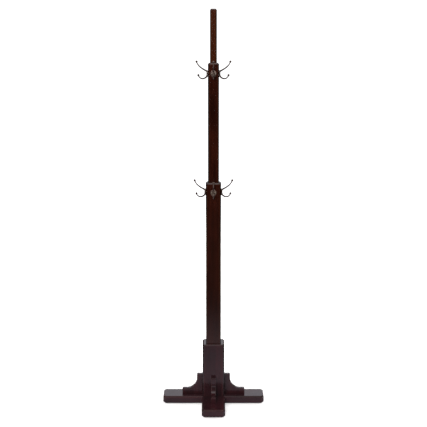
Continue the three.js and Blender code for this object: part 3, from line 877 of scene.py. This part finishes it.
def hook_mesh():
    """One casting, drawn for the front with the post's face at y = 0 and its middle at z = 0."""
    face_front = Matrix.Rotation(math.pi / 2, 4, "X")
    oval = Matrix.Diagonal((1, 1, PLATE_HEIGHT / PLATE_WIDTH, 1))
    plate = [(r * MM, h * MM) for r, h in PLATE_STEPS]
    spine = Matrix.Translation((0, -SPINE_OUT, 0)) @ Matrix.Diagonal((*SPINE_HALF, 1))
    parts = []

    def part(build):
        bm = bmesh.new()
        build(bm)
        parts.append(new_object("part", mesh_from(bm, "part")))

    part(lambda bm: turned(bm, plate, 72, oval @ face_front))
    part(lambda bm: bmesh.ops.create_uvsphere(bm, u_segments=32, v_segments=24, radius=1, matrix=spine))
    part(lambda bm: prong(bm, UPPER_PRONG))
    part(lambda bm: prong(bm, LOWER_PRONG))
    body = parts[0]
    bm = bmesh.new()
    for piece in parts:
        bm.from_mesh(piece.data)
    bm.to_mesh(body.data)
    bm.free()
    for piece in parts[1:]:
        bpy.data.objects.remove(piece)
    remesh = body.modifiers.new("cast", "REMESH")
    remesh.mode = "VOXEL"
    remesh.voxel_size = CASTING_GRAIN
    soften = body.modifiers.new("soften", "SMOOTH")
    soften.factor = 0.5
    soften.iterations = 5
    settle(body)
    far = 40 * MM
    tools = [box_object((-far, -FIT_GAP, -far), (far, far, far))]  # all that lies in the post
    gap = FIT_GAP / 2
    hole = [(0, -PAST), (SCREW_SHANK + gap, -PAST), (SCREW_SHANK + gap, SCREW_SEAT - gap),
            (SCREW_HEAD + gap, SCREW_RIM - gap), (SCREW_HEAD + gap, PAST), (0, PAST)]
    for sign in (-1, 1):
        place = Matrix.Translation((sign * HOOK_SCREW_OFFSET, 0, 0)) @ face_front
        tools.append(turned_object("tool", hole, 40, place))
    combine(body, tools)
    thin = body.modifiers.new("thin", "DECIMATE")
    thin.ratio = 0.4
    settle(body)
    mesh = body.data
    bpy.data.objects.remove(body)
    mesh.name = "hook"
    mark_wear(mesh)
    for polygon in mesh.polygons:
        polygon.use_smooth = True
    return mesh


def mark_wear(mesh):
    """Rubbed brightness on a casting: the plate's crown most, then upper sides and the balls."""
    values = []
    plate_end, balls_start = 8 * MM, 38 * MM
    for vertex in mesh.vertices:
        out = -vertex.co.y
        up_facing = max(vertex.normal.z, 0.0)
        crown = max(-vertex.normal.y, 0.0) * (0.9 if out < plate_end else 0.25)
        ball = 0.35 if out > balls_start else 0.0
        values.append(min(1.0, 0.5 * up_facing + crown + ball))
    layer = mesh.attributes.get("edge_wear") or mesh.attributes.new("edge_wear", "FLOAT", "POINT")
    layer.data.foreach_set("value", values)


def thread(pitch, depth, low, high, fade):
    """A shape for a turned solid: a V thread between two heights, fading in at both ends."""
    def shape(radius, angle, height):
        share = min(max(min(height - low, high - height) / fade, 0.0), 1.0)
        phase = (height / pitch - angle / (2 * math.pi)) % 1.0
        return radius - depth * share * (1 - abs(2 * phase - 1))
    return shape


def even(start, end, step):
    """Evenly spaced values from start to end, about a step apart."""
    count = max(1, round(abs(end - start) / step))
    return [start + (end - start) * k / count for k in range(count + 1)]


def along_thread(start, end, pitch):
    """Heights from start to end, six to a turn of the thread."""
    return even(start, end, pitch / 6)


def hook_screw_mesh():
    """An oval-head cross-recess wood screw on +Z: the post's face at 0, the head outward."""
    pitch = 1.3 * MM
    tip, shank_start = -HOOK_SCREW_DEPTH, -HOOK_SCREW_DEPTH + 3 * MM
    profile = [(0, tip)]
    profile += [(SCREW_SHANK * (0.12 + 0.88 * (h - tip) / (shank_start - tip)), h)
                for h in along_thread(tip + 0.1 * MM, shank_start, pitch)]
    profile += [(SCREW_SHANK, h) for h in along_thread(shank_start, SCREW_SEAT - 0.4 * MM, pitch)[1:]]
    profile += [(SCREW_SHANK, SCREW_SEAT), (SCREW_HEAD - 0.1 * MM, SCREW_RIM - 0.15 * MM),
                (SCREW_HEAD, SCREW_RIM + 0.05 * MM)]
    for k in range(1, 9):
        angle = math.pi / 2 * k / 8
        profile.append((SCREW_HEAD * math.cos(angle), SCREW_RIM + 0.05 * MM + MM * math.sin(angle)))
    profile[-1] = (0, profile[-1][1])
    cut = thread(pitch, 0.5 * MM, tip, SCREW_SEAT - 0.5 * MM, 1.5 * MM)

    def wear(radius, height):
        return 0.9 if height > SCREW_RIM else 0.2

    screw = turned_object("screw", profile, 32, shape=cut, wear=wear)
    wide, narrow, floor = 1.9 * MM, 0.38 * MM, SCREW_RIM - 0.75 * MM
    arms = []
    for size in ((wide, narrow), (narrow, wide)):
        arm = box_object((-size[0], -size[1], floor), (size[0], size[1], floor + 3 * MM))
        for vertex in arm.data.vertices:
            if vertex.co.z < floor + MM:  # the recess narrows towards its floor
                vertex.co.x *= 0.55
                vertex.co.y *= 0.55
        arms.append(arm)
    combine(screw, arms)
    mesh = screw.data
    bpy.data.objects.remove(screw)
    return mesh


def make_hooks(draw):
    casting = hook_mesh()
    screw = hook_screw_mesh()
    bronze = aged_metal("hook_bronze", draw, (0.078, 0.053, 0.044), (0.43, 0.31, 0.255), (0.26, 0.42),
                        (0.56, 0.92), metallic=0.72)
    head = aged_metal("screw_bronze", draw, (0.22, 0.17, 0.125), (0.60, 0.50, 0.40), (0.20, 0.34),
                      (0.40, 0.75), metallic=0.85)
    upright = Matrix.Rotation(math.pi / 2, 4, "X")
    for level in ("upper", "lower"):
        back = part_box(f"{level}_hook_front")[1].y
        screw_low, screw_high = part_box(f"{level}_hook_front_screw_left")
        middle = Matrix.Translation((0, back + FIT_GAP, (screw_low.z + screw_high.z) / 2))
        for side in SIDES:
            name = f"{level}_hook_{side}"
            place = side_turn(side) @ middle
            thing = new_object(name, casting, place)
            finish_piece(thing, name + "_casting", bronze, name, limit=0)
            for hand, sign in (("left", -1), ("right", 1)):
                spin = Matrix.Rotation(draw.uniform(0, math.pi), 4, "Z")
                lean = Matrix.Translation((sign * HOOK_SCREW_OFFSET, 0, 0)) @ upright
                part = new_object("screw", screw.copy(), place @ lean @ spin)
                node = f"{name}_screw_{hand}"
                finish_piece(part, node + "_oval_head", head, node, 40)


# ---- hidden hardware and glides ----
def upright_place(node):
    """A place on an upright CAD node's centre line at height 0, with the node's box."""
    x, y, low, high = centre_of(node)
    return Matrix.Translation((x, y, 0)), low, high


def threaded_bar(node, pitch, material):
    place, low, high = upright_place(node)
    radius = (high.x - low.x) / 2
    lead = 1.2 * MM
    profile = [(0, low.z), (radius - lead, low.z)]
    profile += [(radius, h) for h in along_thread(low.z + lead, high.z - lead, pitch)]
    profile += [(radius - lead, high.z), (0, high.z)]
    cut = thread(pitch, 0.6 * pitch, low.z, high.z, 2 * MM)
    bar = turned_object(node, profile, 32, place, shape=cut)
    finish_piece(bar, node + "_thread", material, node, 50)


def threaded_insert(node, bore_radius, material):
    """A brass insert: a coarse wood thread outside and a plain bore, with a driving slot on top."""
    place, low, high = upright_place(node)
    radius = (high.x - low.x) / 2
    pitch = 2.4 * MM
    profile = [(bore_radius, low.z), (radius - MM, low.z), (radius, low.z + MM)]
    profile += [(radius, h) for h in along_thread(low.z + MM, high.z - 1.5 * MM, pitch)[1:]]
    profile += [(radius, high.z), (bore_radius + 0.4 * MM, high.z), (bore_radius, high.z - 0.4 * MM)]
    cut = thread(pitch, 1.1 * MM, low.z, high.z - 1.5 * MM, 1.5 * MM)

    def shape(r, angle, height):
        return cut(r, angle, height) if r > bore_radius + MM else r

    insert = turned_object(node, profile, 48, place, shape=shape, hollow=True)
    slot_half, slot_depth = 0.9 * MM, 0.12 * (high.z - low.z)
    driving_slot = box_object((-2 * radius, -slot_half, high.z - slot_depth),
                              (2 * radius, slot_half, high.z + PAST))
    combine(insert, [driving_slot])
    finish_piece(insert, node + "_thread", material, node, 50)


def base_bolt(material):
    """A hexagon-head bolt with chamfered corners and a rolled thread near its end."""
    place, low, high = upright_place("base_bolt")
    head_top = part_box("base_washer")[0].z
    flat, shank = 7.79 * MM, 5 * MM  # half the width across the flats, and the shank's radius
    corner = flat / math.cos(math.pi / 6)
    bevel = 0.9 * MM
    thread_start = high.z - 60 * MM
    cut = thread(1.5 * MM, 0.9 * MM, thread_start, high.z, 3 * MM)

    def shape(radius, angle, height):
        if radius <= shank:
            return cut(radius, angle, height)
        from_flat = (angle + math.pi / 6) % (math.pi / 3) - math.pi / 6
        return min(radius, flat / math.cos(from_flat))

    profile = [(0, low.z), (flat - 0.3 * MM, low.z), (corner, low.z + bevel),
               (corner, head_top - bevel), (flat, head_top), (shank + 0.4 * MM, head_top),
               (shank, head_top + 0.4 * MM)]
    profile += [(shank, h) for h in even(head_top + MM, thread_start - 2 * MM, 20 * MM)]
    profile += [(shank, h) for h in even(thread_start, high.z - MM, 0.25 * MM)]
    profile += [(shank - MM, high.z), (0, high.z)]
    bolt = turned_object("bolt", profile, 48, place, shape=shape)
    finish_piece(bolt, "base_bolt_hex_head", material, "base_bolt", 40)


def base_washer(material):
    place, low, high = upright_place("base_washer")
    outer, inner, ease = (high.x - low.x) / 2, 5.3 * MM, 0.35 * MM
    profile = [(inner, low.z + ease), (inner + ease, low.z), (outer - ease, low.z),
               (outer, low.z + ease), (outer, high.z - ease), (outer - ease, high.z),
               (inner + ease, high.z), (inner, high.z - ease)]
    washer = turned_object("washer", profile, 64, place, hollow=True)
    finish_piece(washer, "base_washer_stamped", material, "base_washer", 50)


def bracket_screw(side, material):
    """A countersunk wood screw, its cross-recessed head down in the foot."""
    node = "bracket_screw_" + side
    place, low, high = upright_place(node)
    shank, head, pitch = 2.2 * MM, 4.8 * MM, 2.0 * MM
    start, thread_start = low.z + 4.5 * MM, low.z + 20 * MM
    tip = high.z
    cut = thread(pitch, 0.7 * MM, thread_start, tip, 2 * MM)
    profile = [(0, low.z), (head - 0.2 * MM, low.z), (head, low.z + 0.2 * MM),
               (head, low.z + 0.8 * MM), (shank, start)]
    profile += [(shank, h) for h in even(start + MM, thread_start, 5 * MM)]
    taper = 4 * MM
    profile += [(shank, h) for h in along_thread(thread_start, tip - taper, pitch)[1:]]
    profile += [(shank * (tip - h) / taper, h) for h in along_thread(tip - taper, tip - 0.3 * MM, pitch)]
    profile.append((0, tip))
    screw = turned_object("screw", profile, 28, place, shape=cut)
    centre = place.translation
    arms = []
    for wide, narrow in ((2.6 * MM, 0.5 * MM), (0.5 * MM, 2.6 * MM)):
        arms.append(box_object((centre.x - wide, centre.y - narrow, low.z - MM),
                               (centre.x + wide, centre.y + narrow, low.z + 1.8 * MM)))
    combine(screw, arms)
    finish_piece(screw, node + "_countersunk", material, node, 40)


def fluted_dowel(node, material):
    """A dowel with chamfered ends and pressed flutes."""
    middle, direction, half, radius = rod_of(node)
    ease = MM
    profile = [(0, -half), (radius - ease, -half), (radius, ease - half), (radius, 0),
               (radius, half - ease), (radius - ease, half), (0, half)]

    def shape(r, angle, height):
        return r - 0.25 * MM * max(0.0, math.cos(12 * angle)) ** 2

    place = Matrix.Translation(middle) @ direction.to_track_quat("Z", "Y").to_matrix().to_4x4()
    dowel = turned_object(node, profile, 96, place, shape=shape)
    finish_piece(dowel, node + "_fluted", material, node, 50)


def glide(side, material):
    """A moulded glide: a rounded disc with a shallow dish beneath, and a ribbed pin."""
    node = "glide_" + side
    place, low, high = upright_place(node)
    outer = (high.x - low.x) / 2
    disc_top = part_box("foot_rail_left_right")[0].z
    dish, ease = low.z + 0.4 * MM, 0.3 * MM
    profile = [(0, dish), (6 * MM, dish), (7.2 * MM, low.z)]
    profile += [(outer - MM + MM * math.sin(a), low.z + MM - MM * math.cos(a))
                for a in (math.pi / 2 * k / 6 for k in range(7))]
    profile += [(outer, disc_top - ease), (outer - ease, disc_top), (GLIDE_PIN + ease, disc_top),
                (GLIDE_PIN, disc_top + ease)]
    profile += [(GLIDE_PIN, h) for h in even(disc_top + 0.6 * MM, high.z - 1.5 * MM, 0.35 * MM)]
    profile += [(GLIDE_PIN * 0.5, high.z), (0, high.z)]

    def shape(radius, angle, height):
        if radius != GLIDE_PIN:
            return radius
        return radius - 0.25 * MM * (0.5 + 0.5 * math.cos(2 * math.pi * height / (2.1 * MM)))

    disc = turned_object(node, profile, 64, place, shape=shape)
    finish_piece(disc, node + "_disc", material, node, 45)


def make_hardware(draw):
    steel = aged_metal("zinc_steel", draw, (0.30, 0.30, 0.30), (0.62, 0.62, 0.60), (0.25, 0.45))
    brass = aged_metal("insert_brass", draw, (0.42, 0.28, 0.10), (0.72, 0.52, 0.22), (0.22, 0.4))
    threaded_bar("pole_stud", 1.25 * MM, steel)
    threaded_bar("post_stud", 1.5 * MM, steel)
    threaded_insert("pole_insert", 4.3 * MM, brass)
    threaded_insert("post_insert", 5.3 * MM, brass)
    threaded_insert("base_insert", 5.3 * MM, brass)
    base_bolt(steel)
    base_washer(steel)
    beech = {along: plain_wood("dowel_wood_" + along, along, draw) for along in ("x", "y", "z")}
    for number in (1, 2):
        fluted_dowel(f"block_dowel_{number}", beech["z"])
    plastic = moulded_plastic("glide_plastic")
    for side in SIDES:
        fluted_dowel("bracket_dowel_" + side, beech["y" if side in ("front", "back") else "x"])
        bracket_screw(side, steel)
        glide(side, plastic)


def main():
    scene = bpy.context.scene
    scene.view_settings.view_transform = "Standard"
    draw = random.Random(7)
    make_camera()
    make_world()
    make_floor()
    make_lights()
    make_posts(draw)
    make_rails(draw)
    make_brackets(draw)
    make_hooks(draw)
    make_hardware(draw)


main()
